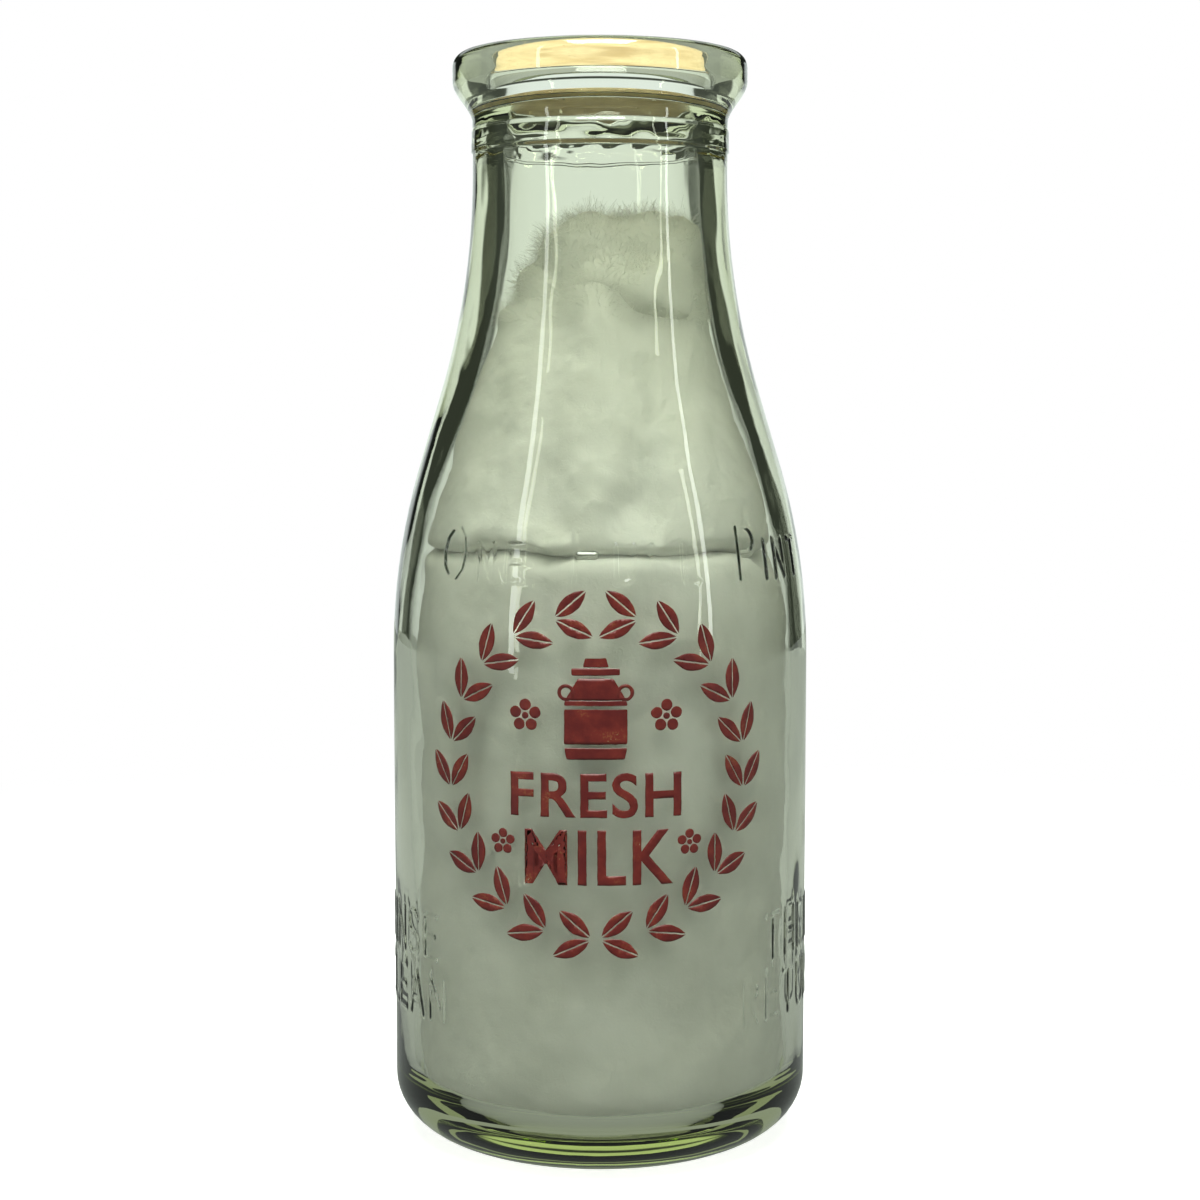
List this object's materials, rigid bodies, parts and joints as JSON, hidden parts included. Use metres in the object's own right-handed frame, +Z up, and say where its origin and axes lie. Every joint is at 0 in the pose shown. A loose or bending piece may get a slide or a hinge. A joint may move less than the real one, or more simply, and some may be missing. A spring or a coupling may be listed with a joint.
{
  "type": "glass milk bottle",
  "caption": "Wide-mouth pint milk bottle in pale green glass, with a beaded lip, a fired red print, a card disc in the mouth and cotton wadding inside.",
  "frame": {"origin": "on the bottle's axis, at the height of the ring it stands on", "axes": "+Z up along the bottle's axis; -Y is the printed front; +X is to the right as seen from the front"},
  "size_m": [0.0796, 0.0791, 0.2055],
  "materials": {
    "pale_green_glass": "clear pressed glass with a pale green tint, fire-polished, glossy",
    "red_enamel": "thin fired ceramic enamel, brick red, worn at the edges",
    "waxed_card": "tan pulp card, wax dipped, satin",
    "cotton_wool": "loose white cotton fibre, matt"
  },
  "bodies": {
    "bottle": {"glass_bottle": "pale_green_glass", "print_wreath": "red_enamel", "print_churn": "red_enamel", "print_blossoms": "red_enamel", "print_upper_word": "red_enamel", "print_lower_word": "red_enamel", "wadding_lower": "cotton_wool", "wadding_upper": "cotton_wool", "wadding_tuft": "cotton_wool"},
    "disc": {"card_disc": "waxed_card"},
    "flap": {"push_flap": "waxed_card"}
  },
  "joints": [
    {"name": "disc_lift", "type": "slide", "parent": "bottle", "child": "disc", "axis": [0, 0, 1], "range_m": [0, 0.03]},
    {"name": "flap_push", "type": "hinge", "parent": "disc", "child": "flap", "pos_m": [0, 0, 0.1968], "axis": [1, 0, 0], "range_deg": [0, 80]}
  ]
}
